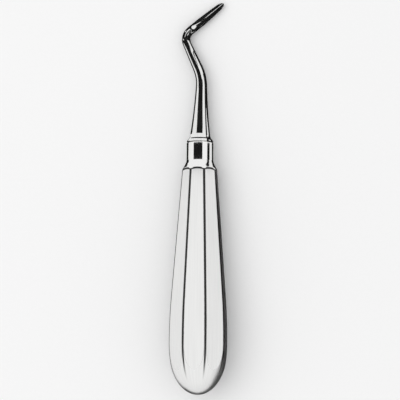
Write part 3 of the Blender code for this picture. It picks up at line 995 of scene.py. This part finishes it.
def studio_world():
    """A white room: even light, and for reflections a backdrop that dims towards its foot."""
    world = bpy.data.worlds.new("white_room")
    bpy.context.scene.world = world
    world.use_nodes = True
    bench = Bench(world.node_tree)
    direction = bench.add("ShaderNodeTexCoord").outputs["Generated"]
    height = bench.add("ShaderNodeSeparateXYZ", {"Vector": direction}).outputs["Z"]
    backdrop = bench.mix(bench.ramp(height, -0.05, 0.6), (0.95, 0.95, 0.95, 1), (1.0, 1.0, 1.0, 1))
    path = bench.add("ShaderNodeLightPath").outputs
    shown = bench.mix(path["Is Camera Ray"], backdrop, (1.0, 1.0, 1.0, 1))
    light = (0.84, 0.84, 0.84, 1)
    final = bench.mix(seen_directly(bench), light, shown)
    bench.tree.links.new(final, world.node_tree.nodes["Background"].inputs["Color"])


def softbox(name, place, size, power, target):
    """A rectangular soft light aimed at a point."""
    lamp = bpy.data.lights.new(name, "AREA")
    lamp.shape = "RECTANGLE"
    lamp.size, lamp.size_y = size
    lamp.energy = power
    box = bpy.data.objects.new(name, lamp)
    box.location = place
    box.visible_glossy = False
    box.rotation_euler = (Vector(target) - Vector(place)).to_track_quat("-Z", "Y").to_euler()
    bpy.context.scene.collection.objects.link(box)


def black_cloth():
    """The dull black cloth of the dark cards."""
    cloth = bpy.data.materials.get("black_cloth") or bpy.data.materials.new("black_cloth")
    cloth.use_nodes = True
    shader = cloth.node_tree.nodes["Principled BSDF"]
    shader.inputs["Base Color"].default_value = (0.012, 0.012, 0.012, 1)
    shader.inputs["Roughness"].default_value = 1.0
    shader.inputs["Specular IOR Level"].default_value = 0.0
    return cloth


def lit_screen():
    """A white screen that is lit from behind, as bright as the backdrop."""
    screen = bpy.data.materials.new("lit_screen")
    screen.use_nodes = True
    bench = Bench(screen.node_tree)
    glow = bench.add("ShaderNodeEmission", {"Color": (0.98, 0.98, 0.98, 1), "Strength": 1.0})
    bench.tree.links.new(glow.outputs[0], screen.node_tree.nodes["Material Output"].inputs["Surface"])
    return screen


def mirrored_card(name, grid, cloth):
    """A card that shows only in the metal's reflections, as the cards round a product do."""
    mesh = bmesh.new()
    made = [[mesh.verts.new(point) for point in row] for row in grid]
    for low, high in zip(made, made[1:]):
        for i in range(len(low) - 1):
            mesh.faces.new((low[i], low[i + 1], high[i + 1], high[i]))
    body = bpy.data.meshes.new(name)
    mesh.to_mesh(body)
    mesh.free()
    body.materials.append(cloth)
    card = bpy.data.objects.new(name, body)
    card.visible_camera = False
    card.visible_diffuse = False
    card.visible_shadow = False
    card.visible_transmission = False
    bpy.context.scene.collection.objects.link(card)


def card_row(place, station, distance, first, last):
    """Points round an axis at a distance, between two angles from straight up."""
    row = []
    for turn in steps(math.radians(first), math.radians(last), 12):
        around = (math.sin(turn) * distance * MM, station * MM, math.cos(turn) * distance * MM)
        row.append(place @ Vector(around))
    return row


def curved_card(name, place, distance, rows):
    """A dark card curved round an axis: each row has its station and its two angles."""
    grid = [card_row(place, station, distance, first, last) for station, first, last in rows]
    mirrored_card(name, grid, black_cloth())


def upright_card(name, place, side, rows):
    """A flat dark card that stands beside an axis: each row has its station, its foot and its top."""
    grid = []
    for station, foot, top in rows:
        grid.append([place @ Vector((side * MM, station * MM, height * MM)) for height in (foot, top)])
    mirrored_card(name, grid, black_cloth())


def standing_screen(name, place, station, rows):
    """A lit screen that stands across an axis: each row has its distance and its two angles."""
    grid = [card_row(place, station, distance, first, last) for distance, first, last in rows]
    mirrored_card(name, grid, lit_screen())


def along_bar(place, station):
    """The place of the bar's centre line at a station, turned to the bar's heading there."""
    x, y, heading = place_on_path(station)
    return place @ Matrix.Translation((x, y, 0.0)) @ Matrix.Rotation(-heading, 4, "Z")


def table_card(name, outline):
    """A dark card flat on the floor: places along the instrument and the card's reach on each side."""
    grid = []
    for along, left, right in outline:
        grid.append([Vector((side * MM, along * MM, TABLE_CARD_LIFT)) for side in (-left, right)])
    mirrored_card(name, grid, black_cloth())


def collar_and_shank_cards(place):
    """Cards whose reflections are the dark bands on the collar and on the straight shank."""
    collar = [(91, -42, 27), (98, -42, 27)]
    curved_card("card_over_collar", place, COLLAR_CARD, collar)
    curved_card("card_beside_collar", place, COLLAR_CARD, [(91, 67, 91), (98, 67, 91)])
    standing_screen("screen_at_shoulder", place, SCREEN_STATION, [(5.2, -110, 58), (22, -110, 58)])
    over = [(103, -38, 29), (110, -36, 32), (114, -36, 39), (121, -46, 35), (131, -50, 34)]
    curved_card("card_over_shank", place, FAR_CARD, over)
    beside = [(103, 77, 104), (112, 76, 105), (120, 75, 106), (128, 70, 106), (140, 66, 106)]
    curved_card("card_beside_shank", place, FAR_CARD, beside)


def bend_and_blade_cards(place):
    """Cards whose reflections darken the offset, the second bend and the blade."""
    offset, blade = along_bar(place, OFFSET_START), along_bar(place, BLADE_START)
    over = [(-5, -25, 22), (0, -48, 20), (5, -62, 18), (10.5, -62, 18)]
    over += [(12.5, -62, 44), (14.5, -76, 50), (17, -98, 34), (17.6, -100, -40), (20, -105, -60)]
    curved_card("card_over_offset", offset, NEAR_CARD, over)
    curved_card("card_beside_offset", offset, NEAR_CARD, [(-4, 74, 110), (10, 76, 110)])
    bend = along_bar(place, OFFSET_END + SECOND_BEND_LENGTH / 2)
    curved_card("card_beside_bend", bend, NEAR_CARD, [(-2, -100, -34), (7, -100, -34)])
    side = [(0, 1.2, 4.4), (4, -1.2, 14.4), (7, -1.2, 33), (17, -1.2, 33)]
    upright_card("card_at_blade_side", blade, BLADE_CARD_SIDE, side)
    back = [(-4, -100, -45), (1, -100, -40), (3, -100, -16), (6, -100, -1)]
    curved_card("card_at_blade_back", blade, NEAR_CARD, back + [(15, -100, 0), (17, -100, 12)])


def main():
    place = instrument_place()
    photograph_camera(place)
    bpy.context.scene.view_settings.view_transform = "Standard"
    studio_floor()
    studio_world()
    softbox("key_softbox", (-0.6, 0.1, 1.3), (1.4, 1.4), 4.5, (0, 0.02, 0))
    collar_and_shank_cards(place)
    bend_and_blade_cards(place)
    table = [(-80, 20, 45), (22, 20, 45), (26, 24, 11.5), (44, 29, 12.5), (53, 30, 20)]
    table_card("card_on_table", table + [(57, 30, 34), (67, 48, 34), (100, 48, 34)])

    groups = {
        "grinding": grinding_group(),
        "hairlines": hairlines_group(),
        "handling": handling_group(),
        "edges": edge_group(),
    }
    handle = handle_skin(satin_steel(groups), place)
    gouge = gouge_skin(polished_steel(groups), place)
    for piece, node, slot in (
        (handle, "handle_shell", "satin_steel"),
        (gouge, "blade_and_shank", "polished_steel"),
    ):
        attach(piece, "root")
        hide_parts(node)


main()
